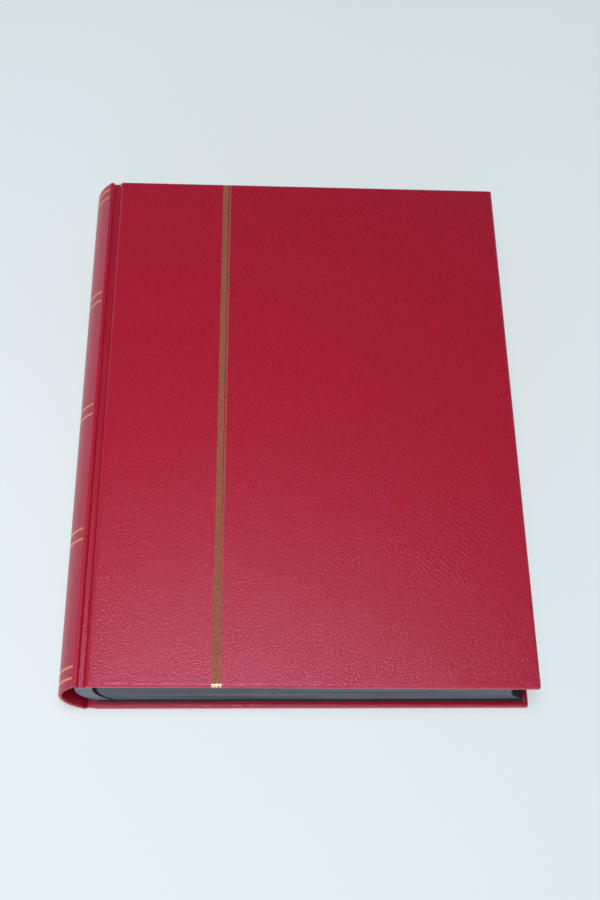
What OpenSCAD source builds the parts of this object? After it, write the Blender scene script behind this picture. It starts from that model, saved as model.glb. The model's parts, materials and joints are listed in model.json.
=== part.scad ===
// Stamp stockbook: a case-bound album with a rounded spine, black card leaves on
// linen hinges, and rows of clear pocket strips on both sides of every leaf.
// It lies closed on its back cover: +X is the fore-edge, -X the spine, +Y the head.
// The origin is the middle of the album's footprint, on the table.

/* [Album] */
// Height of the covers, head to tail
cover_h = 305; // [200:1:340]
// Width of the closed album, from the spine to the fore-edge
album_w = 236; // [180:1:300]
// How far the covers stand out past the leaves at head, tail and fore-edge
square_edge = 4; // [3:0.5:7]

/* [Leaves] */
// Number of card leaves
leaf_count = 24; // [8:1:24]
// Height that each leaf takes in the back, next to the spine
back_pitch = 1.35; // [1.3:0.01:1.6]
// Height that each leaf takes at the fore-edge, where it has no guard
fore_pitch = 1.14; // [1.1:0.01:1.25]
// Thickness of a leaf's black card
card_t = 0.7; // [0.5:0.05:0.75]
// Width of the card guard that is glued into the back
guard_w = 8.5; // [6:0.5:12]
// Width of the linen hinge between a guard and its leaf
linen_w = 2.5; // [1.5:0.25:4]
// Thickness of the linen hinge
linen_t = 0.25; // [0.15:0.05:0.4]
// Thickness of the gauze lining glued along the guards' backs
lining_t = 0.4; // [0.2:0.05:0.5]
// How far the middle of the back is rounded out towards the spine
back_round = 7; // [3:0.5:7.5]
// Distance from the line on which a cover turns to the lowest and the highest guard
back_setback = 1.4; // [1:0.1:3]

/* [Pockets] */
// Pocket strips on each side of a leaf
strip_count = 9; // [4:1:12]
// Part of a row's height that its strip covers; the rest stays open above it
strip_share = 0.86; // [0.6:0.01:0.95]
// Thickness of the clear strip
strip_t = 0.12; // [0.08:0.01:0.14]
// Bare card left round the rows of strips
page_margin = 5; // [3:0.5:12]
// Thickness of the glassine sheet that lies over each leaf
glassine_t = 0.08; // [0.05:0.01:0.1]
// How far the glassine stays back from the edges of its leaf
glassine_inset = 1; // [0.5:0.5:5]

/* [Case] */
// Thickness of the cover boards
board_t = 2.3; // [1.8:0.1:3]
// Thickness of the leatherette covering
skin_t = 0.45; // [0.35:0.05:0.6]
// Thickness of the endpapers
paper_t = 0.3; // [0.2:0.05:0.4]
// How far the covering is turned in over the edges of the boards
turn_in = 15; // [10:1:25]
// How far the pasted-down endpaper stays back from the edges of the boards
paper_inset = 3; // [2:0.5:8]
// Radius of the covering where it goes over a board's edge
edge_r = 1.1; // [0.8:0.1:1.5]
// Width of the cut between the turned-in flaps at a mitred corner
mitre_cut = 0.2; // [0.1:0.05:0.5]

/* [Joints] */
// Distance from the spine's outermost line to the line on which a cover turns
joint_inset = 13.4; // [11:0.1:14]
// Distance from that line to the edge of the board
board_setback = 3.8; // [3.6:0.1:6]
// Depth of the groove pressed along each joint
groove_depth = 2.6; // [2.5:0.05:2.8]
// Radius of the covering where it slopes up from the groove to the board
slope_r = 1.6; // [1.5:0.05:1.8]
// Radius at the foot of the spine in the groove
fillet_r = 0.7; // [0.5:0.05:0.75]

/* [Spine] */
// Thickness of the flexible card inside the spine
spine_card_t = 0.9; // [0.6:0.1:1.2]
// Angle by which that card stops short of the spine's long edges
card_short = 3; // [2:0.5:10]
// Radius of the spine's two long edges
lip_r = 1.2; // [1:0.1:1.5]
// How much lower than the covers these edges are
lip_drop = 0.6; // [0.5:0.05:0.7]
// Distance from a joint's line to the side of the spine's edge
lip_setback = 1.6; // [1.5:0.1:2]

/* [Gold lines] */
// Thickness of the stamped foil
foil_t = 0.05; // [0.03:0.01:0.1]
// Distance from the joint line to the middle of the wide line on the cover
rule_x = 64; // [20:1:150]
// Width of the wide line
wide_rule_w = 3.2; // [1:0.1:5]
// Width of the narrow line beside it
thin_rule_w = 0.9; // [0.4:0.1:2]
// Bare gap between the two lines
rule_gap = 0.6; // [0.4:0.1:3]
// Pairs of bands across the spine
band_pairs = 5; // [2:1:8]
// Distance from the spine's ends to the middle of the first and last pair
band_inset = 7.5; // [6:0.5:30]
// Distance between the two lines of a pair
band_gap = 5.8; // [2:0.1:8]
// Width of each line across the spine
band_w = 1; // [0.4:0.1:2]
// Angle by which the bands stop short of the spine's long edges
band_short = 1.5; // [1:0.5:10]

/* [Clearances] */
// Glue line between pieces that are glued edge to edge or laid on each other
glue_t = 0.02; // [0.01:0.01:0.03]
// Air between two leaves in the back, and under the lowest leaf
leaf_air = 0.05; // [0.03:0.01:0.08]
// Extra air between the highest leaf and the front flyleaf
fly_air = 0.15; // [0.15:0.05:0.4]
// Air between the front flyleaf and the inside of the front cover
cover_air = 0.9; // [0.3:0.05:1]
// Length of covering left out on each side of a joint's turning line
joint_air = 0.35; // [0.3:0.05:0.5]

/* [Hidden] */
$fn = 96;
function leaf_name(stem, n) = str(stem, n < 10 ? "_0" : "_", n);

// a cover: one board with the covering on both faces
cover_t = board_t + 2 * skin_t;
leaf_h = cover_h - 2 * square_edge;
spine_x = -album_w / 2;
joint_x = spine_x + joint_inset;
cover_w = album_w - joint_inset;
// how far a cover's outer and inner faces lie from the line on which it turns
joint_depth = groove_depth + skin_t / 2;
inner_z = joint_depth - cover_t;

// the stack of leaves, from the back pastedown up
guard_t = back_pitch - leaf_air;
back_x = joint_x + back_setback;
leaf_w = album_w / 2 - square_edge - back_x;
card_x = guard_w + linen_w;
card_w = leaf_w - card_x;
fly_z = cover_t + paper_t + leaf_air;
leaf_z = fly_z + paper_t + leaf_air;
stack_h = leaf_count * back_pitch;
top_fly_z = leaf_z + stack_h + fly_air;
joint_t = top_fly_z + paper_t + cover_air + paper_t + cover_t;
front_joint_z = joint_t - joint_depth;
// the stack is thinner at the fore-edge, so its upper leaves and the front cover slope
slope = atan(leaf_count * (back_pitch - fore_pitch) / leaf_w);
// the rounded back follows a circle through the lowest and the highest guard
back_r = (pow(stack_h / 2, 2) + pow(back_round, 2)) / (2 * back_round);

// the spine's section: one large arc that meets a small arc at each long edge
mid_z = joint_t / 2;
crest_x = spine_x + foil_t + skin_t / 2;
lip_x = joint_x - lip_setback - skin_t / 2 - lip_r;
lip_z = mid_z - lip_drop - lip_r - skin_t / 2;
lip_reach = lip_x - crest_x;
spine_r = (pow(lip_reach, 2) + pow(lip_z, 2) - pow(lip_r, 2)) / (2 * (lip_reach - lip_r));
spine_cx = crest_x + spine_r;
spine_angle = asin(lip_z / (spine_r - lip_r));
spine_card_angle = spine_angle - card_short;
spine_in_r = spine_r - skin_t / 2;
cut_past = 1;
// arcs that run on into each other share this many degrees
arc_lap = 1;

// ---------- frames ----------

// lays a drawing of the album's end, X across and Y up, along the whole height
module along_height(length) {
    rotate([90, 0, 0]) linear_extrude(length, center = true) children();
}

module at_front_joint() {
    translate([joint_x, 0, front_joint_z]) rotate([0, slope, 0]) children();
}

// the back cover is the front one turned over
module at_back_joint() {
    translate([joint_x, 0, joint_depth]) mirror([0, 0, 1]) children();
}

// leaves are counted from the front, and lie in the stack from the back up
function steps_up(n) = leaf_count - n;

function round_out(n) =
    let (from_middle = (steps_up(n) + 0.5) * back_pitch - stack_h / 2)
    sqrt(pow(back_r, 2) - pow(from_middle, 2)) - (back_r - back_round);

module at_leaf(n) {
    translate([back_x, 0, leaf_z + steps_up(n) * back_pitch])
        rotate([0, slope * steps_up(n) / leaf_count, 0])
            translate([-round_out(n), 0, guard_t / 2]) children();
}

// ---------- plain shapes ----------

// a sheet from one corner, centred along the height
module sheet(width, height, thickness) {
    translate([0, -height / 2, 0]) cube([width, height, thickness]);
}

// part of a ring between two angles less than 180 apart
module ring_part(r, thickness, from_angle, to_angle) {
    reach = 2 * (r + thickness);
    half = (from_angle + to_angle) / 2;
    intersection() {
        difference() {
            circle(r + thickness / 2);
            circle(r - thickness / 2);
        }
        polygon([[0, 0],
                 reach * [cos(from_angle), sin(from_angle)],
                 reach * [cos(half), sin(half)],
                 reach * [cos(to_angle), sin(to_angle)]]);
    }
}

// ---------- covers, drawn from the line on which they turn ----------

// a slab with its outer edges rounded, as the covering goes over the board
module rounded_slab(x0, x1, half_h, z0, z1, r) {
    intersection() {
        rotate([90, 0, 0]) linear_extrude(2 * half_h, center = true) {
            translate([x0, z0]) square([x1 - r - x0, z1 - z0]);
            translate([x0, z0 + r]) square([x1 - x0, z1 - z0 - 2 * r]);
            for (z = [z0 + r, z1 - r]) translate([x1 - r, z]) circle(r);
        }
        rotate([90, 0, 90]) translate([0, 0, x0]) linear_extrude(x1 - x0) end_section(half_h, z0, z1, r);
        translate([0, 0, z0]) linear_extrude(z1 - z0) {
            translate([x0, -half_h]) square([x1 - r - x0, 2 * half_h]);
            translate([x0, r - half_h]) square([x1 - x0, 2 * (half_h - r)]);
            for (y = [r - half_h, half_h - r]) translate([x1 - r, y]) circle(r);
        }
    }
}

// a cover seen from its fore-edge: a long bar with rounded ends
module end_section(half_h, z0, z1, r) {
    translate([r - half_h, z0]) square([2 * (half_h - r), z1 - z0]);
    translate([-half_h, z0 + r]) square([2 * half_h, z1 - z0 - 2 * r]);
    for (y = [r - half_h, half_h - r], z = [z0 + r, z1 - r]) translate([y, z]) circle(r);
}

module cover_board() {
    translate([board_setback, 0, inner_z + skin_t])
        sheet(cover_w - skin_t - board_setback, cover_h - 2 * skin_t, board_t);
}

// leatherette: outer face, edges, turned-in flaps, and the strip down into the groove
module cover_skin() {
    rise = joint_depth - skin_t / 2;
    slope_angle = acos(1 - rise / (2 * slope_r));
    slope_w = 2 * slope_r * sin(slope_angle);
    slope_x = board_setback - slope_w;
    difference() {
        rounded_slab(board_setback, cover_w, cover_h / 2, inner_z, joint_depth, edge_r);
        for (past = [-cut_past, 0]) translate([past, 0, 0]) cover_board();
        cover_window(cut_past);
        for (side = [-1, 1])
            translate([cover_w - turn_in, side * (cover_h / 2 - turn_in), inner_z - cut_past])
                rotate([0, 0, side * 45])
                    translate([-mitre_cut, -mitre_cut / 2, 0])
                        cube([2 * turn_in, mitre_cut, skin_t + cut_past]);
    }
    along_height(cover_h) {
        translate([joint_air, -skin_t / 2]) square([slope_x - joint_air, skin_t]);
        translate([slope_x, slope_r]) ring_part(slope_r, skin_t, 270, 270 + slope_angle + arc_lap);
        translate([board_setback, rise - slope_r]) ring_part(slope_r, skin_t, 90, 90 + slope_angle);
        translate([board_setback, rise - skin_t / 2]) square([cut_past, skin_t]);
    }
}

// the part of a cover's inner face that the turned-in flaps leave bare
module cover_window(past) {
    translate([board_setback - past, 0, inner_z - past])
        sheet(cover_w - turn_in - board_setback + past, cover_h - 2 * turn_in, skin_t + past);
}

// endpaper: it lies on the flaps, and on the board between them
module pastedown() {
    width = cover_w - paper_inset - board_setback;
    window_w = cover_w - turn_in - board_setback;
    window_h = cover_h - 2 * turn_in;
    face_z = -paper_t - glue_t;
    translate([board_setback, 0, inner_z]) difference() {
        translate([0, 0, face_z]) {
            sheet(width, cover_h - 2 * paper_inset, paper_t);
            sheet(window_w - glue_t, window_h - 2 * glue_t, skin_t - face_z);
        }
        translate([-cut_past, 0, face_z - cut_past])
            sheet(window_w - paper_t + cut_past, window_h - 2 * paper_t, skin_t + cut_past - glue_t);
    }
}

module flyleaf() {
    sheet(leaf_w, leaf_h, paper_t);
}

module back_board() {
    color([0.62, 0.58, 0.52]) at_back_joint() cover_board();
}

module back_covering() {
    color([0.62, 0.09, 0.18]) at_back_joint() cover_skin();
}

module back_pastedown() {
    color([0.09, 0.09, 0.1]) at_back_joint() pastedown();
}

module back_flyleaf() {
    color([0.1, 0.1, 0.11]) translate([back_x, 0, fly_z]) flyleaf();
}

module front_board() {
    color([0.62, 0.58, 0.52]) at_front_joint() cover_board();
}

module front_covering() {
    color([0.62, 0.09, 0.18]) at_front_joint() cover_skin();
}

module front_pastedown() {
    color([0.09, 0.09, 0.1]) at_front_joint() pastedown();
}

module front_flyleaf() {
    color([0.1, 0.1, 0.11]) translate([back_x, 0, top_fly_z]) rotate([0, slope, 0]) flyleaf();
}

// two lines of foil along the whole front cover and over its edges
module front_gold_lines() {
    lines = [[rule_x - wide_rule_w / 2, wide_rule_w],
             [rule_x + wide_rule_w / 2 + rule_gap, thin_rule_w]];
    edge_z = inner_z + edge_r;
    color([0.72, 0.53, 0.22]) at_front_joint()
        for (line = lines)
            rotate([90, 0, 90]) translate([0, 0, line[0]]) linear_extrude(line[1])
                difference() {
                    end_section(cover_h / 2 + foil_t, inner_z, joint_depth + foil_t, edge_r + foil_t);
                    end_section(cover_h / 2, inner_z, joint_depth, edge_r);
                    translate([-cover_h, edge_z - cover_t]) square([2 * cover_h, cover_t]);
                }
}

// ---------- spine ----------

// covering of the spine: the large arc, both long edges and both strips in the grooves
module spine_section() {
    translate([spine_cx, mid_z])
        ring_part(spine_r, skin_t, 180 - spine_angle, 180 + spine_angle);
    for (side = [0, 1])
        translate([0, mid_z]) mirror([0, side]) {
            wall_x = lip_x + lip_r;
            strip_z = front_joint_z - mid_z;
            translate([lip_x, lip_z]) {
                ring_part(lip_r, skin_t, 0, 90);
                ring_part(lip_r, skin_t, 90 - arc_lap, 180 - spine_angle + arc_lap);
            }
            translate([wall_x - skin_t / 2, strip_z + fillet_r])
                square([skin_t, lip_z - strip_z - fillet_r]);
            translate([wall_x + fillet_r, strip_z + fillet_r]) ring_part(fillet_r, skin_t, 180, 270);
            translate([wall_x + fillet_r, strip_z - skin_t / 2])
                square([joint_x - joint_air - wall_x - fillet_r, skin_t]);
        }
}

module spine_ring(outer_r, thickness, half_angle) {
    translate([spine_cx, mid_z])
        ring_part(outer_r - thickness / 2, thickness, 180 - half_angle, 180 + half_angle);
}

// the covering, with its ends folded over the card and turned in
module spine_covering() {
    color([0.62, 0.09, 0.18]) {
        along_height(cover_h) spine_section();
        for (side = [-1, 1]) {
            translate([0, side * (cover_h - skin_t) / 2, 0])
                along_height(skin_t) spine_ring(spine_in_r, spine_card_t + skin_t, spine_card_angle);
            translate([0, side * (cover_h - turn_in) / 2, 0])
                along_height(turn_in) spine_ring(spine_in_r - spine_card_t, skin_t, spine_card_angle);
        }
    }
}

module spine_card() {
    color([0.62, 0.58, 0.52])
        along_height(cover_h - 2 * skin_t) spine_ring(spine_in_r, spine_card_t, spine_card_angle);
}

// pairs of foil lines across the spine, spread evenly from head to tail
module spine_gold_bands() {
    spread = cover_h - 2 * band_inset;
    color([0.72, 0.53, 0.22])
        for (pair = [0 : band_pairs - 1], side = [-1, 1])
            translate([0, pair * spread / (band_pairs - 1) - spread / 2 + side * band_gap / 2, 0])
                along_height(band_w) spine_ring(spine_r + skin_t / 2 + foil_t, foil_t, spine_angle - band_short);
}

// ---------- leaves ----------

// one leaf: guard with its share of the gauze lining, linen hinge, and black card
module leaf(n) {
    color([0.08, 0.08, 0.09]) at_leaf(n) {
        translate([0, 0, -guard_t / 2]) sheet(guard_w, leaf_h, guard_t);
        translate([-lining_t, 0, 2 * leaf_air - guard_t / 2])
            sheet(lining_t - glue_t, leaf_h, guard_t - 3 * leaf_air);
        translate([guard_w + glue_t, 0, -linen_t / 2]) sheet(linen_w - 2 * glue_t, leaf_h, linen_t);
        translate([card_x, 0, -card_t / 2]) sheet(card_w, leaf_h, card_t);
    }
}

// clear strips on both sides of a leaf, and the glassine sheet over it
module pockets(n) {
    row_h = (leaf_h - 2 * page_margin) / strip_count;
    strip_h = row_h * strip_share;
    color([0.75, 0.78, 0.8, 0.4]) at_leaf(n) {
        for (row = [0 : strip_count - 1], face_z = [card_t / 2, -card_t / 2 - strip_t])
            translate([card_x + page_margin, row * row_h + page_margin + (strip_h - leaf_h) / 2, face_z])
                sheet(card_w - 2 * page_margin, strip_h, strip_t);
        translate([card_x + glassine_inset, 0, card_t / 2 + strip_t + glue_t])
            sheet(card_w - 2 * glassine_inset, leaf_h - 2 * glassine_inset, glassine_t);
    }
}

back_board();
back_covering();
back_pastedown();
back_flyleaf();
spine_card();
spine_covering();
spine_gold_bands();
front_board();
front_covering();
front_pastedown();
front_flyleaf();
front_gold_lines();
for (n = [1 : leaf_count]) {
    leaf(n);
    pockets(n);
}
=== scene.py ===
"""Stamp album in crimson leatherette with a rounded spine, gold lines and black card leaves."""

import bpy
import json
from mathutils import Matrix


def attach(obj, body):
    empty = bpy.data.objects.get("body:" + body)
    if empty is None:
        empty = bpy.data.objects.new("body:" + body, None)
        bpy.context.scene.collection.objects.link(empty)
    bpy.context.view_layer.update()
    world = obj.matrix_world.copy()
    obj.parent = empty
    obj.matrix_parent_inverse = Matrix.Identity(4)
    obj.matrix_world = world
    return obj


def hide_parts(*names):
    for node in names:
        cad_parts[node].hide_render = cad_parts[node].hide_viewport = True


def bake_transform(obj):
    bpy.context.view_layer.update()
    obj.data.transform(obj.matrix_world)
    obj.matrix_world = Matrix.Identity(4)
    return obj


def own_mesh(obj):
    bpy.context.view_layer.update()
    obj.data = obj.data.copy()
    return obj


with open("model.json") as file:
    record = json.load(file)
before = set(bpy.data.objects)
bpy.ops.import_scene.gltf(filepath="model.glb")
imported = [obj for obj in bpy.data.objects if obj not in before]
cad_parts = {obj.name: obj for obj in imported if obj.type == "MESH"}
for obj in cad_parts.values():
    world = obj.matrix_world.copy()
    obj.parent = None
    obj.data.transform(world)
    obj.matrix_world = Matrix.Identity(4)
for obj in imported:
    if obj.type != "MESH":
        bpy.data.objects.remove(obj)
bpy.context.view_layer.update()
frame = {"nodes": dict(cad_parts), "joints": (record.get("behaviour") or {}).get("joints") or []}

import json
from math import acos, asin, atan, cos, pi, radians, sin, sqrt

import bmesh
import bpy
from mathutils import Matrix, Vector


# ---------------------------------------------------------------- the camera
# It stands at the album's tail and looks down on the front cover from about
# arm's length.
def put_in_scene(name, data):
    """A new object in the scene."""
    made = bpy.data.objects.new(name, data)
    bpy.context.scene.collection.objects.link(made)
    return made


camera_data = bpy.data.cameras.new("camera")
camera_data.sensor_width = 36
camera_data.lens = 48.98
camera = put_in_scene("camera", camera_data)
camera_at = Vector((-0.01576, -0.31965, 0.61505))
across = Vector((0.99963, -0.00939, 0.02537)).normalized()
down = Vector((0.00322, -0.88986, -0.45622)).normalized()
forward = across.cross(down).normalized()
looking = Matrix((across, -down, -forward)).transposed().to_4x4()
camera.matrix_world = Matrix.Translation(camera_at) @ looking
bpy.context.scene.camera = camera

# ---------------------------------------------------------------- table and light
# A pale blue-grey table top, and one soft lamp above the album's tail. The room
# is bright along its walls and dim overhead, with a window beyond the tail and
# a little more light on the side of the spine.
mm = 0.001
table_size = 40.0
table_drop = 0.2 * mm


def feed(tree, entry, value):
    """Gives a node's input a number or colour, or the output of another node."""
    if isinstance(value, bpy.types.NodeSocket):
        tree.links.new(value, entry)
    else:
        entry.default_value = value


def add_node(tree, kind, **values):
    """A node with its properties set and its named inputs fed."""
    node = tree.nodes.new(kind)
    for name, value in values.items():
        if hasattr(node, name):
            setattr(node, name, value)
        else:
            feed(tree, node.inputs[name.replace("_", " ")], value)
    return node


def math_node(tree, operation, *values):
    """What a Math node makes of these numbers or outputs."""
    node = add_node(tree, "ShaderNodeMath", operation=operation)
    for entry, value in zip(node.inputs, values):
        feed(tree, entry, value)
    return node.outputs["Value"]


def ramp(tree, level, *stops):
    """A colour that goes through (position, colour) stops as the level rises."""
    node = add_node(tree, "ShaderNodeValToRGB", Fac=level)
    for element, (position, colour) in zip(node.color_ramp.elements, stops):
        element.position = position
        element.color = (*colour, 1)
    return node.outputs["Color"]


def new_material(name, **constants):
    """A material with one Principled shader and these values on its sockets."""
    material = bpy.data.materials.new(name)
    material.use_nodes = True
    tree = material.node_tree
    shader = tree.nodes["Principled BSDF"]
    for socket_name, value in constants.items():
        feed(tree, shader.inputs[socket_name.replace("_", " ")], value)
    return material, tree, shader


table_mesh = bpy.data.meshes.new("table_top")
table_mesh.from_pydata([(x * table_size / 2, y * table_size / 2, -table_drop)
                        for x, y in ((-1, -1), (1, -1), (1, 1), (-1, 1))], [], [(0, 1, 2, 3)])
table_top = put_in_scene("table_top", table_mesh)
table_paint, tree, shader = new_material("table_paint", Base_Color=(0.80, 0.86, 0.90, 1),
                                         Roughness=0.6, Specular_IOR_Level=0.25)
seen_paint = add_node(tree, "ShaderNodeBsdfDiffuse", Color=(0.31, 0.35, 0.37, 1))
seen_glow = add_node(tree, "ShaderNodeEmission", Color=(0.475, 0.51, 0.49, 1), Strength=1.0)
seen_top = add_node(tree, "ShaderNodeAddShader")
feed(tree, seen_top.inputs[0], seen_paint.outputs["BSDF"])
feed(tree, seen_top.inputs[1], seen_glow.outputs["Emission"])
ray = add_node(tree, "ShaderNodeLightPath").outputs
looked_at = math_node(tree, "ADD", ray["Is Camera Ray"], ray["Is Glossy Ray"])
looked_at = math_node(tree, "ADD", looked_at, ray["Is Transmission Ray"])
looked_at.node.use_clamp = True
top_shader = add_node(tree, "ShaderNodeMixShader", Fac=looked_at)
feed(tree, top_shader.inputs[1], shader.outputs["BSDF"])
feed(tree, top_shader.inputs[2], seen_top.outputs["Shader"])
feed(tree, tree.nodes["Material Output"].inputs["Surface"], top_shader.outputs["Shader"])
table_top.data.materials.append(table_paint)

lamp_data = bpy.data.lights.new("soft_lamp", "AREA")
lamp_data.shape = "RECTANGLE"
lamp_data.size = 0.34
lamp_data.size_y = 0.34
lamp_data.energy = 2.22
lamp_data.spread = radians(95)
lamp_data.color = (0.97, 0.99, 1.09)
lamp = put_in_scene("soft_lamp", lamp_data)
lamp.location = (-0.05, -0.19, 1.04)
lamp_back = Vector((0.09, -0.05, 1.0))
lamp.rotation_euler = lamp_back.to_track_quat("Z", "Y").to_euler()

room = bpy.data.worlds.new("room")
bpy.context.scene.world = room
room.use_nodes = True
tree = room.node_tree
background = tree.nodes["Background"]
towards = add_node(tree, "ShaderNodeSeparateXYZ",
                   Vector=add_node(tree, "ShaderNodeTexCoord").outputs["Generated"]).outputs
feed(tree, background.inputs["Color"],
     ramp(tree, towards["Z"], (0.28, (0.95, 1.05, 1.22)), (0.62, (0.10, 0.11, 0.13))))
tail_window = add_node(tree, "ShaderNodeMapRange", Value=towards["Y"],
                       From_Min=-0.90, From_Max=-0.96, To_Max=5.0)
spine_side = add_node(tree, "ShaderNodeMapRange", Value=towards["X"],
                      From_Min=-0.4, From_Max=-0.9, To_Min=1.0, To_Max=1.2)
feed(tree, background.inputs["Strength"],
     math_node(tree, "ADD", tail_window.outputs["Result"], spine_side.outputs["Result"]))

bpy.context.scene.view_settings.view_transform = "Standard"

# ---------------------------------------------------------------- leatherette
# Book cloth with a pressed leather grain: paper coated with a crimson vinyl
# skin. It covers both boards and the spine.
# The grain's hollows are painted a darker crimson: painted shade in the hollows.
crimson_painted_shade_in_hollows = (0.37, 0.0035, 0.017)
crimson_on_pebbles = (0.44, 0.0055, 0.023)
pebble_depth = 0.10 * mm
wrinkle_depth = 0.05 * mm


def noise(tree, place, scale, detail, roughness=0.5):
    """Soft uneven levels, with about this many lumps to the metre."""
    return add_node(tree, "ShaderNodeTexNoise", Vector=place, Scale=scale, Detail=detail,
                    Roughness=roughness).outputs["Fac"]


def bump(tree, height, depth, **more):
    """The normals of a surface whose levels stand out by this depth."""
    return add_node(tree, "ShaderNodeBump", Distance=depth, Height=height, **more).outputs["Normal"]


def leather_grain(tree, pebbles_in, wrinkles_in):
    """Pressed grain: soft pebbles on low rolls, with longer wrinkles in patches."""
    place = add_node(tree, "ShaderNodeTexCoord").outputs["Object"]
    drift = add_node(tree, "ShaderNodeTexNoise", Vector=place, Scale=330.0, Detail=2.0)
    push = add_node(tree, "ShaderNodeVectorMath", operation="SCALE", Scale=1.0 * mm)
    feed(tree, push.inputs[0], drift.outputs["Color"])
    moved = add_node(tree, "ShaderNodeVectorMath", operation="ADD")
    feed(tree, moved.inputs[0], place)
    feed(tree, moved.inputs[1], push.outputs["Vector"])
    pebbles = add_node(tree, "ShaderNodeTexVoronoi", feature="SMOOTH_F1",
                       Vector=moved.outputs["Vector"], Scale=1500.0, Smoothness=0.35)
    rolls = noise(tree, place, 520.0, 3.0, 0.6)
    pores = noise(tree, place, 2600.0, 2.0, 0.6)
    pebble_share, pore_share = 1.1, 0.3
    domes = math_node(tree, "MULTIPLY_ADD", pebbles.outputs["Distance"], -pebble_share, rolls)
    height = math_node(tree, "MULTIPLY_ADD", pores, pore_share, domes)
    wrinkles = add_node(tree, "ShaderNodeTexWave", bands_direction="DIAGONAL", Vector=place,
                        Scale=190.0, Distortion=14.0, Detail=4.0, Detail_Scale=0.22,
                        Detail_Roughness=0.65)
    patch = add_node(tree, "ShaderNodeMapRange", Value=noise(tree, place, 15.0, 2.0),
                     From_Min=0.57, From_Max=0.74)
    in_patches = math_node(tree, "MULTIPLY", wrinkles.outputs["Fac"], patch.outputs["Result"])
    grain = bump(tree, height, pebbles_in)
    return bump(tree, in_patches, wrinkles_in, Normal=grain, invert=True), height


leatherette, tree, shader = new_material("leatherette", Roughness=0.32, IOR=1.5,
                                         Specular_IOR_Level=0.55,
                                         Specular_Tint=(0.80, 0.74, 1.0, 1))
normal, height = leather_grain(tree, pebble_depth, wrinkle_depth)
feed(tree, shader.inputs["Normal"], normal)
# Painted shade: the colour darkens towards the grain's hollows.
feed(tree, shader.inputs["Base Color"],
     ramp(tree, height, (0.0, crimson_painted_shade_in_hollows), (0.6, crimson_on_pebbles)))

# ---------------------------------------------------------------- boards
# Two grey mill boards, 2.3 mm thick, one in each cover. The covering and the
# endpapers hide them completely.
greyboard, tree, shader = new_material("greyboard", Roughness=0.9)
place = add_node(tree, "ShaderNodeTexCoord").outputs["Object"]
pulp = noise(tree, place, 900.0, 4.0)
feed(tree, shader.inputs["Base Color"],
     ramp(tree, pulp, (0.0, (0.27, 0.24, 0.20)), (1.0, (0.40, 0.36, 0.31))))


def repaint(node_name, material):
    """Gives a solid of the frame its finish."""
    node = frame["nodes"][node_name]
    node.data.materials.clear()
    node.data.materials.append(material)


for board in ("back_board", "front_board"):
    repaint(board, greyboard)

# ---------------------------------------------------------------- covering of the two covers
# One sheet of leatherette goes over each board's outer face and three edges,
# is turned in 15 mm and mitred at the corners, and dips into the groove.
album_w = 236 * mm
cover_h = 305 * mm
cover_w = 222.6 * mm
cover_t = 3.2 * mm
skin_t = 0.45 * mm
turn_in = 15 * mm
edge_r = 1.3 * mm
board_setback = 3.8 * mm
groove_depth = 2.6 * mm
slope_r = 1.6 * mm
flat_lead = 0.35 * mm
mitre_half = 0.12 * mm
mitre_sink = 0.28 * mm
mitre_start = 1.5 * mm
mitre_spread = 1.4
edge_steps = 5
slope_steps = 6
corner_steps = 6

joint_at = {joint["name"]: Vector(joint["pos_m"]) for joint in frame["joints"]}
front_hinge = joint_at["front_cover_hinge"]
back_hinge = joint_at["spine_hinge"]

folded_t = 2 * skin_t
joint_depth = groove_depth + skin_t / 2
inner_z = joint_depth - cover_t
slope_angle = acos(1 - groove_depth / (2 * slope_r))
slope_x = board_setback - 2 * slope_r * sin(slope_angle)

# The front cover slopes, because the leaves lie closer at the fore-edge than
# at their guards.
leaf_count = 24
back_pitch = 1.35 * mm
fore_pitch = 1.14 * mm
square_edge = 4 * mm
back_setback = 1.4 * mm
back_x = front_hinge.x + back_setback
leaf_w = album_w / 2 - square_edge - back_x
cover_slope = atan(leaf_count * (back_pitch - fore_pitch) / leaf_w)

at_front_joint = Matrix.Translation(front_hinge) @ Matrix.Rotation(cover_slope, 4, "Y")
at_back_joint = Matrix.Translation(back_hinge) @ Matrix.Diagonal((1, 1, -1, 1))


def fold_profile(thickness, r):
    """Points over a folded edge: (distance in from the edge, depth, on the inner side)."""
    r = min(r, thickness / 2)
    turn = [radians(90) * step / edge_steps for step in range(edge_steps + 1)]
    over = [(r * (1 - sin(a)), r * (1 - cos(a)), False) for a in turn]
    under = [(r * (1 - cos(a)), thickness - r * (1 - sin(a)), True) for a in turn]
    flap = [(in_by, thickness, True) for in_by in (r + flat_lead, turn_in / 2, turn_in)]
    return [(r + flat_lead, 0, False)] + over + under + flap


def cover_inner(u):
    """Height of the turned-in flap over the groove and under the board."""
    share = min(max((u - slope_x) / (board_setback - slope_x), 0), 1)
    return -skin_t / 2 - skin_t + (inner_z + 1.5 * skin_t) * share


def groove_profile():
    """The outer surface from the groove up to the board: (u, height)."""
    hollow_r = slope_r - skin_t / 2
    shoulder_r = slope_r + skin_t / 2
    rise = [slope_angle * step / slope_steps for step in range(slope_steps + 1)]
    points = [(slope_x, skin_t / 2)]
    points += [(slope_x + hollow_r * sin(a), slope_r - hollow_r * cos(a)) for a in rise[1:]]
    points += [(board_setback - shoulder_r * sin(a), groove_depth - slope_r + shoulder_r * cos(a))
               for a in reversed(rise[:-1])]
    return points


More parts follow.
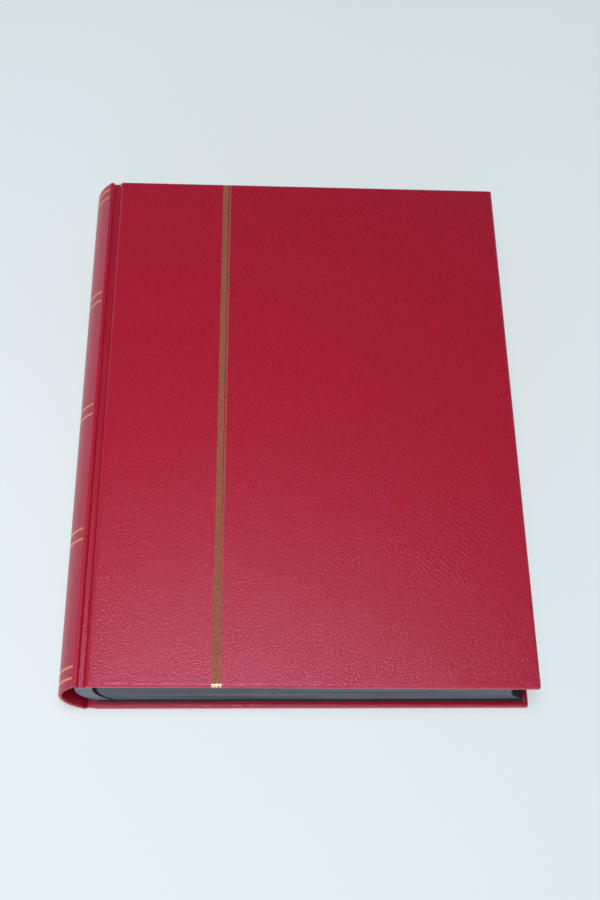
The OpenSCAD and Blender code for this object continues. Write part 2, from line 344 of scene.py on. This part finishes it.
def cover_rows():
    """Rows of points round a cover: along the head, round two corners, back along the tail."""
    half_h = cover_h / 2
    over_board = [(board_setback * 2, joint_depth), (cover_w - edge_r, joint_depth)]
    profile = groove_profile() + over_board
    ring = fold_profile(cover_t, edge_r)

    def gap_beside(v, inner):
        """How far the flaps stay clear of the mitre line."""
        return mitre_half if inner and v > edge_r else 0

    def edge_row(u, height, side):
        """Round the head or the tail edge."""
        row = []
        for v, depth, inner in fold_profile(height - cover_inner(u), edge_r):
            limit = cover_w - v - gap_beside(v, inner)
            row.append((min(u, limit) if v > edge_r else u, side * (half_h - v), height - depth))
        return row

    def corner_row(angle, side):
        """Round a corner, where the flaps sink a little along the mitre."""
        row = []
        for v, depth, inner in ring:
            out = max(v - edge_r, 0)
            in_arc = edge_r - min(v, edge_r)
            u = cover_w - edge_r - out + in_arc * cos(angle)
            y = half_h - edge_r - out + in_arc * sin(angle)
            w = joint_depth - depth
            if inner and out > 0:
                off_mitre = (angle - radians(45)) / radians(45)
                u -= mitre_half * max(off_mitre, 0)
                y += mitre_half * min(off_mitre, 0)
                near_mitre = max(0, 1 - abs(off_mitre) * mitre_spread)
                w += mitre_sink * near_mitre * min(out / mitre_start, 1)
            row.append((u, side * y, w))
        return row

    def fore_row(y):
        """Round the fore-edge."""
        row = []
        for v, depth, inner in ring:
            limit = half_h - v - gap_beside(v, inner)
            row.append((cover_w - v, min(max(y, -limit), limit) if v > edge_r else y,
                        joint_depth - depth))
        return row

    turns = [radians(90) * k / corner_steps for k in range(1, corner_steps)]
    rows = [edge_row(u, w, 1) for u, w in profile]
    rows += [corner_row(a, 1) for a in reversed(turns)]
    rows += [fore_row(half_h - edge_r), fore_row(edge_r - half_h)]
    rows += [corner_row(a, -1) for a in turns]
    rows += [edge_row(u, w, -1) for u, w in reversed(profile)]
    last = len(rows) - 1
    return rows, [(k, k + 1, last - k - 1, last - k) for k in range(len(profile) - 1)]


def to_mesh(name, sheet):
    """A mesh of these faces, all facing outwards."""
    bmesh.ops.recalc_face_normals(sheet, faces=sheet.faces)
    mesh = bpy.data.meshes.new(name)
    sheet.to_mesh(mesh)
    sheet.free()
    return mesh


def skin_mesh(name, rows, bridges=()):
    """Joins rows of points into a sheet, and bridges its outer face from head to tail."""
    smallest = 0.0001 * mm
    sheet = bmesh.new()
    grid = [[sheet.verts.new(p) for p in row] for row in rows]

    def face(*corners):
        loop = [c for i, c in enumerate(corners) if (c.co - corners[i - 1].co).length > smallest]
        if len(loop) > 2:
            sheet.faces.new(loop)

    for row, following in zip(grid, grid[1:]):
        for i in range(len(row) - 1):
            face(row[i], row[i + 1], following[i + 1], following[i])
    for bridge in bridges:
        face(*(grid[k][0] for k in bridge))
    bmesh.ops.remove_doubles(sheet, verts=sheet.verts, dist=10 * smallest)
    return to_mesh(name, sheet)


def bake(piece):
    """Turns an object with modifiers into a plain mesh, smooth but for its real edges."""
    view = bpy.context.evaluated_depsgraph_get()
    plain = bpy.data.meshes.new_from_object(piece.evaluated_get(view))
    piece.modifiers.clear()
    piece.data = plain
    for polygon in plain.polygons:
        polygon.use_smooth = True
    plain.set_sharp_from_angle(angle=radians(40))


def finished(mesh, placed, thickness, facing, material):
    """A sheet with its thickness and finish, in its place, with its outside outwards."""
    piece = put_in_scene(mesh.name, mesh)
    shell = bmesh.new()
    shell.from_mesh(mesh)
    largest = max(shell.faces, key=lambda f: f.calc_area())
    if largest.normal.dot(facing) < 0:
        bmesh.ops.reverse_faces(shell, faces=shell.faces)
    bmesh.ops.transform(shell, matrix=placed, verts=shell.verts)
    if placed.determinant() < 0:
        bmesh.ops.reverse_faces(shell, faces=shell.faces)
    shell.to_mesh(mesh)
    shell.free()
    thicken = piece.modifiers.new("thickness", "SOLIDIFY")
    thicken.thickness = thickness
    thicken.offset = -1
    bake(piece)
    piece.data.materials.append(material)
    return piece


up = Vector((0, 0, 1))
for name, placed, body, node_name in (
        ("front_cover_leatherette", at_front_joint, "front_cover", "front_covering"),
        ("back_cover_leatherette", at_back_joint, "back_cover", "back_covering")):
    skin = finished(skin_mesh(name, *cover_rows()), placed, skin_t, up, leatherette)
    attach(skin, body)
    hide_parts(node_name)

# ---------------------------------------------------------------- hinges of the covering
# In each groove the sheet is free of board and card for about 2 mm, and bends there
# when a cover opens. These strips are built where they lie in the closed album.
lip_r = 1.2 * mm
lip_setback = 1.6 * mm
fillet_r = 0.7 * mm
wall_x = -lip_setback - skin_t / 2
spine_foot_x = wall_x + fillet_r
hinge_steps = 10


def folded_rows(stations):
    """Rows over a sheet turned in at head and tail: along the head, back along the tail."""
    def row(station, side):
        (x, z), (normal_x, normal_z), thickness, r = station
        return [(x - normal_x * depth, side * (cover_h / 2 - v), z - normal_z * depth)
                for v, depth, inner in fold_profile(thickness, r)]

    rows = [row(station, 1) for station in stations]
    rows += [row(station, -1) for station in reversed(stations)]
    last = len(rows) - 1
    return rows, [(k, k + 1, last - k - 1, last - k) for k in range(len(stations) - 1)]


free_strip = [((spine_foot_x + (slope_x - spine_foot_x) * k / hinge_steps, skin_t / 2),
               (0, 1), folded_t, skin_t) for k in range(hinge_steps + 1)]
for name, placed, hinge, (body_a, from_x), (body_b, to_x) in (
        ("front_hinge_leatherette", at_front_joint, front_hinge,
         ("spine", spine_foot_x), ("front_cover", slope_x)),
        ("back_hinge_leatherette", at_back_joint, back_hinge,
         ("back_cover", slope_x), ("spine", spine_foot_x))):
    flex = finished(skin_mesh(name, *folded_rows(free_strip)), placed, skin_t, up, leatherette)
    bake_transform(flex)

# ---------------------------------------------------------------- spine
# A flexible card bulges between the covers. The leatherette goes round it, is
# turned in over its ends, and stands up as a small lip beside each groove.
spine_card_t = 0.9 * mm
lip_drop = 0.85 * mm
foil_t = 0.05 * mm
mid_z = (front_hinge.z + joint_depth) / 2
crest_x = -album_w / 2 + foil_t + skin_t / 2
lip_x = front_hinge.x + wall_x - lip_r
lip_z = mid_z - lip_drop - lip_r - skin_t / 2
lip_reach = lip_x - crest_x
spine_r = (lip_reach ** 2 + lip_z ** 2 - lip_r ** 2) / (2 * (lip_reach - lip_r))
spine_centre_x = crest_x + spine_r
spine_angle = asin(lip_z / (spine_r - lip_r))
card_short = radians(3)
card_reach = spine_angle - card_short
card_r = spine_r - skin_t / 2
card_half_h = cover_h / 2 - skin_t
fillet_steps = 6
lip_steps = 10
crest_steps = 16


def on_arc(centre, r, a, side, thickness, fold_r):
    """A station on an arc; side is 1 where the skin's outside bulges, -1 where it is hollow."""
    out_x, out_z = cos(a), sin(a)
    outside_r = r + side * skin_t / 2
    return ((centre[0] + outside_r * out_x, centre[1] + outside_r * out_z),
            (side * out_x, side * out_z), thickness, fold_r)


def spine_stations():
    """Down the spine's outside, from the foot in the front groove to the foot in the back one."""
    fillet_centre = (front_hinge.x + wall_x + fillet_r, front_hinge.z - mid_z + fillet_r)
    lip_turn = pi - spine_angle
    half = [on_arc(fillet_centre, fillet_r, radians(270 - 90 * step / fillet_steps), -1,
                   folded_t, skin_t) for step in range(fillet_steps + 1)]
    half += [on_arc((lip_x, lip_z), lip_r, lip_turn * step / lip_steps, 1,
                    folded_t, skin_t) for step in range(lip_steps + 1)]
    for step in range(1, crest_steps + 1):
        past_lip = spine_angle * step / crest_steps
        over_card = min(past_lip / card_short, 1)
        half.append(on_arc((spine_centre_x, 0), spine_r, lip_turn + past_lip, 1,
                           folded_t + spine_card_t * over_card, skin_t * (1 + over_card)))
    upper = [((x, mid_z + z), (out_x, out_z), *rest) for (x, z), (out_x, out_z), *rest in half]
    lower = [((x, mid_z - z), (out_x, -out_z), *rest)
             for (x, z), (out_x, out_z), *rest in reversed(half[:-1])]
    return upper + lower


def card_rows():
    """Rows over the card's outer face, from head to tail."""
    arc = [pi + card_reach * (k / crest_steps - 1) for k in range(2 * crest_steps + 1)]
    return [[(spine_centre_x + card_r * cos(a), y, mid_z + card_r * sin(a))
             for y in (card_half_h, -card_half_h)] for a in arc]


def flatten_with_spine(piece):
    """Gives the piece a mesh of its own; the bulge is not flattened."""
    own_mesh(piece)


spine_outside = Vector((-1, 0, 0))
for mesh, thickness, material, node_name, slot_name in (
        (skin_mesh("spine_leatherette", *folded_rows(spine_stations())),
         skin_t, leatherette, "spine_covering", "leatherette"),
        (skin_mesh("spine_card_strip", card_rows()),
         spine_card_t, greyboard, "spine_card", "spine_card")):
    piece = finished(mesh, Matrix.Identity(4), thickness, spine_outside, material)
    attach(piece, "spine")
    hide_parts(node_name)
    flatten_with_spine(piece)

# ---------------------------------------------------------------- gold lines on the front cover
# One wide and one narrow line of hot-stamped foil, from head to tail and over
# both edges. The foil takes the grain, and is rubbed thin on its high spots.
rule_x = 64 * mm
wide_rule_w = 3.2 * mm
thin_rule_w = 0.9 * mm
rule_gap = 0.6 * mm
foil_stand = 0.03 * mm
rule_steps = 6
grain_through_foil = 0.2
crimson_through_foil = (0.36, 0.016, 0.03, 1)
gold = (0.97, 0.39, 0.19, 1)

gold_foil, tree, shader = new_material("gold_foil", Roughness=0.09,
                                       Specular_Tint=(1.0, 0.95, 0.85, 1))
normal, height = leather_grain(tree, pebble_depth * grain_through_foil,
                               wrinkle_depth * grain_through_foil)
foil_left = add_node(tree, "ShaderNodeMapRange", Value=height, From_Min=-0.25, From_Max=0.6,
                     To_Min=0.85, To_Max=0.5).outputs["Result"]
foil_tint = add_node(tree, "ShaderNodeMix", data_type="RGBA", Factor=foil_left,
                     A=crimson_through_foil, B=gold)
feed(tree, shader.inputs["Normal"], normal)
feed(tree, shader.inputs["Metallic"], foil_left)
feed(tree, shader.inputs["Base Color"], foil_tint.outputs["Result"])


def line_over_cover(u_from, u_to):
    """Two rows of points over the cover and its edges, along a line's two sides."""
    outside_r = edge_r + foil_stand
    turn = [radians(90) * k / rule_steps for k in range(rule_steps + 1)]
    over_edge = [(cover_h / 2 - edge_r + outside_r * sin(a),
                  joint_depth - edge_r + outside_r * cos(a)) for a in reversed(turn)]
    side_foot = (over_edge[0][0], inner_z + edge_r)
    flat_from = (over_edge[-1][0] - flat_lead, over_edge[-1][1])
    half = [side_foot] + over_edge + [flat_from]
    path = half + [(-y, w) for y, w in reversed(half)]
    return [[(u, y, w) for y, w in path] for u in (u_from, u_to)]


for name, start, width in (
        ("wide_gold_line", rule_x - wide_rule_w / 2, wide_rule_w),
        ("narrow_gold_line", rule_x + wide_rule_w / 2 + rule_gap, thin_rule_w)):
    line = finished(skin_mesh(name, line_over_cover(start, start + width)),
                    at_front_joint, foil_t, up, gold_foil)
    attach(line, "front_cover")
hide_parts("front_gold_lines")

# ---------------------------------------------------------------- gold bands on the spine
# Five pairs of thin foil lines, stamped as the cover's are. They cross the
# spine and stop at its long edges.
band_pairs = 5
band_inset = 7.5 * mm
band_gap = 5.8 * mm
band_w = 1.2 * mm
band_short = radians(1.5)


def new_tree(name, **inputs):
    """An empty geometry tree with these named inputs, and the outputs that give them."""
    tree = bpy.data.node_groups.new(name, "GeometryNodeTree")
    tree.interface.new_socket(name="Geometry", in_out="OUTPUT", socket_type="NodeSocketGeometry")
    for title, value in inputs.items():
        kind = "NodeSocketInt" if isinstance(value, int) else "NodeSocketFloat"
        made = tree.interface.new_socket(name=title.replace("_", " "), in_out="INPUT",
                                         socket_type=kind)
        made.default_value = value
    return tree, tree.nodes.new("NodeGroupInput").outputs


def point(tree, x=0.0, y=0.0, z=0.0):
    """A place or a size from three numbers or outputs."""
    return add_node(tree, "ShaderNodeCombineXYZ", X=x, Y=y, Z=z).outputs["Vector"]


def row_of_points(tree, count, first, step):
    """Points in a line, from the first place on."""
    return add_node(tree, "GeometryNodeMeshLine", mode="OFFSET", Count=count,
                    Start_Location=first, Offset=step).outputs["Mesh"]


def on_points(tree, points, instance, **values):
    """The same shape at each point."""
    return add_node(tree, "GeometryNodeInstanceOnPoints", Points=points, Instance=instance,
                    **values).outputs["Instances"]


def close_tree(tree, geometry, material):
    """Ends a tree in real faces of one material."""
    real = add_node(tree, "GeometryNodeRealizeInstances", Geometry=geometry)
    painted = add_node(tree, "GeometryNodeSetMaterial", Geometry=real.outputs["Geometry"],
                       Material=material)
    add_node(tree, "NodeGroupOutput", Geometry=painted.outputs["Geometry"])


def grown(name, tree, **inputs):
    """Runs a geometry tree with these inputs, and keeps the result as a plain mesh."""
    piece = put_in_scene(name, bpy.data.meshes.new(name))
    modifier = piece.modifiers.new("grow", "NODES")
    modifier.node_group = tree
    for item in tree.interface.items_tree:
        if item.name in inputs:
            modifier[item.identifier] = inputs[item.name]
    bake(piece)
    return piece


def band_tree():
    """Thin arcs round the spine, in pairs, one pair at each place along its height."""
    tree, given = new_tree("spine_bands", Pairs=band_pairs, Spread=cover_h - 2 * band_inset,
                           Gap=band_gap, Width=band_w, Radius=spine_r + skin_t / 2 + foil_stand,
                           Reach=spine_angle - band_short)
    arc = add_node(tree, "GeometryNodeCurveArc", Resolution=40, Radius=given["Radius"],
                   Start_Angle=math_node(tree, "SUBTRACT", pi, given["Reach"]),
                   Sweep_Angle=math_node(tree, "MULTIPLY", given["Reach"], 2.0))
    section = add_node(tree, "GeometryNodeCurvePrimitiveQuadrilateral", Width=foil_t,
                       Height=given["Width"])
    band = add_node(tree, "GeometryNodeCurveToMesh", Curve=arc.outputs["Curve"],
                    Profile_Curve=section.outputs["Curve"], Fill_Caps=True)
    upright = add_node(tree, "GeometryNodeTransform", Geometry=band.outputs["Mesh"],
                       Rotation=(radians(90), 0, 0))
    first_of_pair = point(tree, y=math_node(tree, "MULTIPLY", given["Gap"], -0.5))
    both = row_of_points(tree, 2, first_of_pair, point(tree, y=given["Gap"]))
    pair = on_points(tree, both, upright.outputs["Geometry"])
    first = point(tree, y=math_node(tree, "MULTIPLY", given["Spread"], -0.5))
    spaces = math_node(tree, "SUBTRACT", given["Pairs"], 1.0)
    step = point(tree, y=math_node(tree, "DIVIDE", given["Spread"], spaces))
    all_pairs = on_points(tree, row_of_points(tree, given["Pairs"], first, step), pair)
    close_tree(tree, all_pairs, gold_foil)
    return tree


bands = grown("spine_gold_foil", band_tree())
bands.data.transform(Matrix.Translation((spine_centre_x, 0, mid_z)))
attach(bands, "spine")
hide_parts("spine_gold_bands")
flatten_with_spine(bands)

# ---------------------------------------------------------------- endpapers
# Black paper. One half of each folded sheet is pasted to a cover over the
# turned-in leatherette, and the other half lies free against the leaves.
tooth_depth = 0.03 * mm
black_paper, tree, shader = new_material("black_paper", Roughness=0.72)
place = add_node(tree, "ShaderNodeTexCoord").outputs["Object"]
fibres = noise(tree, place, 1500.0, 5.0, 0.7)
feed(tree, shader.inputs["Base Color"],
     ramp(tree, fibres, (0.3, (0.016, 0.017, 0.019)), (0.75, (0.034, 0.036, 0.040))))
feed(tree, shader.inputs["Normal"], bump(tree, fibres, tooth_depth))
for paper in ("back_pastedown", "back_flyleaf", "front_pastedown", "front_flyleaf"):
    repaint(paper, black_paper)

# ---------------------------------------------------------------- leaves
# Each leaf is a sheet of black card on a linen hinge. The hinge is glued to a
# card guard, and the guards are lined with gauze and form the rounded back.
card_t = 0.7 * mm
guard_w = 8.5 * mm
linen_w = 2.5 * mm
linen_t = 0.25 * mm
linen_grip = 4 * mm
linen_over_card = 0.09 * mm
linen_short = 0.2 * mm
lining_t = 0.4 * mm
weave_depth = 0.08 * mm
glue_line = 0.02 * mm
back_round = 7 * mm
leaf_air = 0.05 * mm
paper_t = 0.3 * mm
worn = 0.06 * mm
guard_t = back_pitch - leaf_air
leaf_h = cover_h - 2 * square_edge
card_x = guard_w + linen_w
leaf_z = cover_t + 2 * (paper_t + leaf_air)
stack_h = leaf_count * back_pitch
back_r = ((stack_h / 2) ** 2 + back_round ** 2) / (2 * back_round)

# The card's faces are nearly black. Its cut edges are greyer, in fine layers,
# and some batches of the card are lighter than others.
black_card, tree, shader = new_material("black_card", Roughness=0.6)
place = add_node(tree, "ShaderNodeTexCoord").outputs
pulp = noise(tree, place["Object"], 1100.0, 5.0, 0.65)
face_tint = ramp(tree, pulp, (0.3, (0.014, 0.015, 0.016)), (0.75, (0.030, 0.032, 0.034)))
along_layers = add_node(tree, "ShaderNodeMapping", Vector=place["Object"], Scale=(60, 60, 3000))
layers = noise(tree, along_layers.outputs["Vector"], 1.0, 3.0)
along_batches = add_node(tree, "ShaderNodeMapping", Vector=place["Object"], Scale=(16, 16, 330))
batches = noise(tree, along_batches.outputs["Vector"], 1.0, 2.0)
batch_share = 0.65
cut_level = math_node(tree, "MULTIPLY_ADD", batches, batch_share,
                      math_node(tree, "MULTIPLY", layers, 1 - batch_share))
cut_tint = ramp(tree, cut_level, (0.34, (0.07, 0.073, 0.082)), (0.68, (0.215, 0.23, 0.255)))
facing = add_node(tree, "ShaderNodeSeparateXYZ", Vector=place["Normal"]).outputs["Z"]
is_cut = add_node(tree, "ShaderNodeMapRange", Value=math_node(tree, "ABSOLUTE", facing),
                  From_Min=0.9, From_Max=0.5).outputs["Result"]
card_tint = add_node(tree, "ShaderNodeMix", data_type="RGBA", Factor=is_cut,
                     A=face_tint, B=cut_tint)
feed(tree, shader.inputs["Base Color"], card_tint.outputs["Result"])
feed(tree, shader.inputs["Normal"], bump(tree, pulp, tooth_depth))

# The linen is a plain weave, dyed black.
black_linen, tree, shader = new_material("black_linen", Roughness=0.85)
place = add_node(tree, "ShaderNodeTexCoord").outputs["Object"]
warp, weft = (add_node(tree, "ShaderNodeTexWave", bands_direction=direction, Vector=place,
                       Scale=420.0, Distortion=0.6).outputs["Fac"] for direction in ("X", "Y"))
threads = math_node(tree, "MULTIPLY", warp, weft)
feed(tree, shader.inputs["Base Color"],
     ramp(tree, threads, (0.0, (0.010, 0.010, 0.011)), (1.0, (0.040, 0.042, 0.045))))
feed(tree, shader.inputs["Normal"], bump(tree, threads, weave_depth))


def leaf_place(n):
    """Where leaf n lies in the closed stack; leaf 1 is at the front."""
    steps_up = leaf_count - n
    from_middle = (steps_up + 0.5) * back_pitch - stack_h / 2
    round_out = sqrt(back_r ** 2 - from_middle ** 2) - (back_r - back_round)
    return (Matrix.Translation((back_x, 0, leaf_z + steps_up * back_pitch))
            @ Matrix.Rotation(cover_slope * steps_up / leaf_count, 4, "Y")
            @ Matrix.Translation((-round_out, 0, guard_t / 2)))


def slab(sheet, outline, height, material_index=0):
    """A closed prism: an outline across the leaf, drawn along its whole height."""
    ends = [[sheet.verts.new((x, y, z)) for x, z in outline] for y in (-height / 2, height / 2)]
    made = [sheet.faces.new(ends[0]), sheet.faces.new(list(reversed(ends[1])))]
    for k in range(len(outline)):
        made.append(sheet.faces.new((ends[0][k - 1], ends[1][k - 1], ends[1][k], ends[0][k])))
    for face in made:
        face.material_index = material_index


def box_outline(x0, x1, z0, z1, c):
    """A rectangle with its corners worn off by c."""
    return [(x0 + c, z0), (x1 - c, z0), (x1, z0 + c), (x1, z1 - c),
            (x1 - c, z1), (x0 + c, z1), (x0, z1 - c), (x0, z0 + c)]


def linen_outline():
    """The hinge from the guard to the card, where it splits and grips both faces."""
    guard_end = guard_w - 0.05 * mm
    splits_at, grips_from, card_in_fold = card_x - 0.9 * mm, card_x - 0.1 * mm, card_x + 0.2 * mm
    grips_to = card_x + linen_grip
    half, outside, inside = linen_t / 2, card_t / 2 + linen_over_card, card_t / 2 - worn / 3
    upper = [(guard_end, half), (splits_at, half), (grips_from, outside), (grips_to, outside),
             (grips_to, inside), (card_in_fold, inside)]
    return upper + [(x, -z) for x, z in reversed(upper)]


def leaf_mesh(name, n):
    """Guard, lining, card and linen hinge of one leaf, in that leaf's own place."""
    card, linen = 0, 1
    sheet = bmesh.new()
    slab(sheet, box_outline(0, guard_w, -guard_t / 2, guard_t / 2, worn), leaf_h, card)
    slab(sheet, box_outline(-lining_t, -glue_line, 2 * leaf_air - guard_t / 2,
                            guard_t / 2 - leaf_air, worn), leaf_h, linen)
    slab(sheet, box_outline(card_x, leaf_w, -card_t / 2, card_t / 2, worn), leaf_h, card)
    slab(sheet, linen_outline(), leaf_h - 2 * linen_short, linen)
    mesh = to_mesh(name, sheet)
    mesh.transform(leaf_place(n))
    mesh.materials.append(black_card)
    mesh.materials.append(black_linen)
    return mesh


for n in range(1, leaf_count + 1):
    name = "leaf_%02d_card" % n
    leaf = put_in_scene(name, leaf_mesh(name, n))
    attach(leaf, "leaf_%02d" % n)
    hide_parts("leaf_%02d" % n)

# ---------------------------------------------------------------- pocket strips
# Nine strips of clear film on each side of a leaf, glued along the bottom and
# open at the top, where the film is folded back on itself. A glassine sheet
# lies over the page.
strip_count = 9
strip_share = 0.86
strip_t = 0.12 * mm
strip_slip = 0.15 * mm
page_margin = 5 * mm
film_t = 0.07 * mm
film_slack = 0.2 * mm
fold_w = 1.3 * mm
glue_w = 0.8 * mm
glue_t = 0.03 * mm
hair = 0.001 * mm
glassine_t = 0.08 * mm
glassine_inset = 1 * mm
glassine_cockle = 0.6 * mm
veil_z = card_t / 2 + strip_t + glue_line

# Handling leaves the film clearer in some places than in others.
clear_film, tree, shader = new_material("clear_film", Base_Color=(0.80, 0.87, 0.90, 1), Alpha=0.16,
                                        Specular_IOR_Level=0.6)
place = add_node(tree, "ShaderNodeTexCoord").outputs["Object"]
handling = noise(tree, place, 60.0, 3.0)
dulled = add_node(tree, "ShaderNodeMapRange", Value=handling, From_Min=0.35, From_Max=0.7,
                  To_Min=0.08, To_Max=0.24)
feed(tree, shader.inputs["Roughness"], dulled.outputs["Result"])
feed(tree, shader.inputs["Normal"], bump(tree, handling, film_slack))

# Glassine is thin, smooth, half clear paper that cockles a little.
glassine, tree, shader = new_material("glassine", Base_Color=(0.62, 0.70, 0.72, 1), Roughness=0.42,
                                      Alpha=0.34)
place = add_node(tree, "ShaderNodeTexCoord").outputs["Object"]
feed(tree, shader.inputs["Normal"], bump(tree, noise(tree, place, 26.0, 2.0), glassine_cockle))


def pocket_tree():
    """Rows of strips on both sides of a leaf, each a little out of line."""
    row_pitch = (leaf_h - 2 * page_margin) / strip_count
    tree, given = new_tree("pocket_rows", Rows=strip_count, Row_Pitch=row_pitch,
                           Strip_Height=row_pitch * strip_share,
                           Strip_Width=leaf_w - card_x - 2 * page_margin,
                           Page_Height=leaf_h, Slip=strip_slip, Seed=1)

    def bar(height, thickness, y, z):
        """A flat bar of film, as long as a strip."""
        cube = add_node(tree, "GeometryNodeMeshCube",
                        Size=point(tree, given["Strip Width"], height, thickness))
        return add_node(tree, "GeometryNodeTransform", Geometry=cube.outputs["Mesh"],
                        Translation=point(tree, 0.0, y, z)).outputs["Geometry"]

    def joined(*parts):
        """Several shapes as one."""
        node = add_node(tree, "GeometryNodeJoinGeometry")
        for part in parts:
            feed(tree, node.inputs["Geometry"], part)
        return node.outputs["Geometry"]

    half = math_node(tree, "MULTIPLY", given["Strip Height"], 0.5)
    film = bar(given["Strip Height"], film_t, 0.0, film_t / 2)
    fold = bar(fold_w, strip_t - film_t - 2 * hair,
               math_node(tree, "SUBTRACT", half, fold_w / 2), film_t + (strip_t - film_t) / 2)
    glue = bar(glue_w, glue_t, math_node(tree, "SUBTRACT", glue_w / 2, half),
               film_t + glue_t / 2 + hair)
    strip = joined(film, fold, glue)

    half_page = math_node(tree, "MULTIPLY", given["Page Height"], 0.5)
    first = math_node(tree, "ADD", math_node(tree, "SUBTRACT", half, half_page), page_margin)
    rows = row_of_points(tree, given["Rows"], point(tree, y=first),
                         point(tree, y=given["Row Pitch"]))

    sides = []
    for seed_step, z, turned in ((0, card_t / 2, 0), (100, -card_t / 2, pi)):
        slip = add_node(tree, "FunctionNodeRandomValue", data_type="FLOAT",
                        Seed=math_node(tree, "ADD", given["Seed"], seed_step))
        feed(tree, slip.inputs[2], math_node(tree, "MULTIPLY", given["Slip"], -1.0))
        feed(tree, slip.inputs[3], given["Slip"])
        loose = add_node(tree, "GeometryNodeSetPosition", Geometry=rows,
                         Offset=point(tree, x=slip.outputs[1])).outputs["Geometry"]
        placed = on_points(tree, loose, strip, Rotation=(0, turned, 0))
        on_side = add_node(tree, "GeometryNodeTransform", Geometry=placed, Translation=(0, 0, z))
        sides.append(on_side.outputs["Geometry"])
    close_tree(tree, joined(*sides), clear_film)
    return tree


def glassine_mesh(name):
    """One sheet of glassine over a page, in a leaf's own frame."""
    sheet = bmesh.new()
    slab(sheet, box_outline(card_x + glassine_inset, leaf_w - glassine_inset,
                            veil_z, veil_z + glassine_t, glassine_t / 4),
         leaf_h - 2 * glassine_inset)
    return to_mesh(name, sheet)


pocket_rows = pocket_tree()
page_middle = Matrix.Translation(((card_x + leaf_w) / 2, 0, 0))
for n in range(1, leaf_count + 1):
    pockets = grown("leaf_%02d_strips" % n, pocket_rows, Seed=n)
    for polygon in pockets.data.polygons:
        polygon.use_smooth = False
    pockets.data.transform(leaf_place(n) @ page_middle)
    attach(pockets, "leaf_%02d" % n)
    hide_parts("pockets_%02d" % n)
    veil_name = "leaf_%02d_glassine" % n
    veil = put_in_scene(veil_name, glassine_mesh(veil_name))
    veil.data.transform(leaf_place(n))
    veil.data.materials.append(glassine)
    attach(veil, "leaf_%02d" % n)
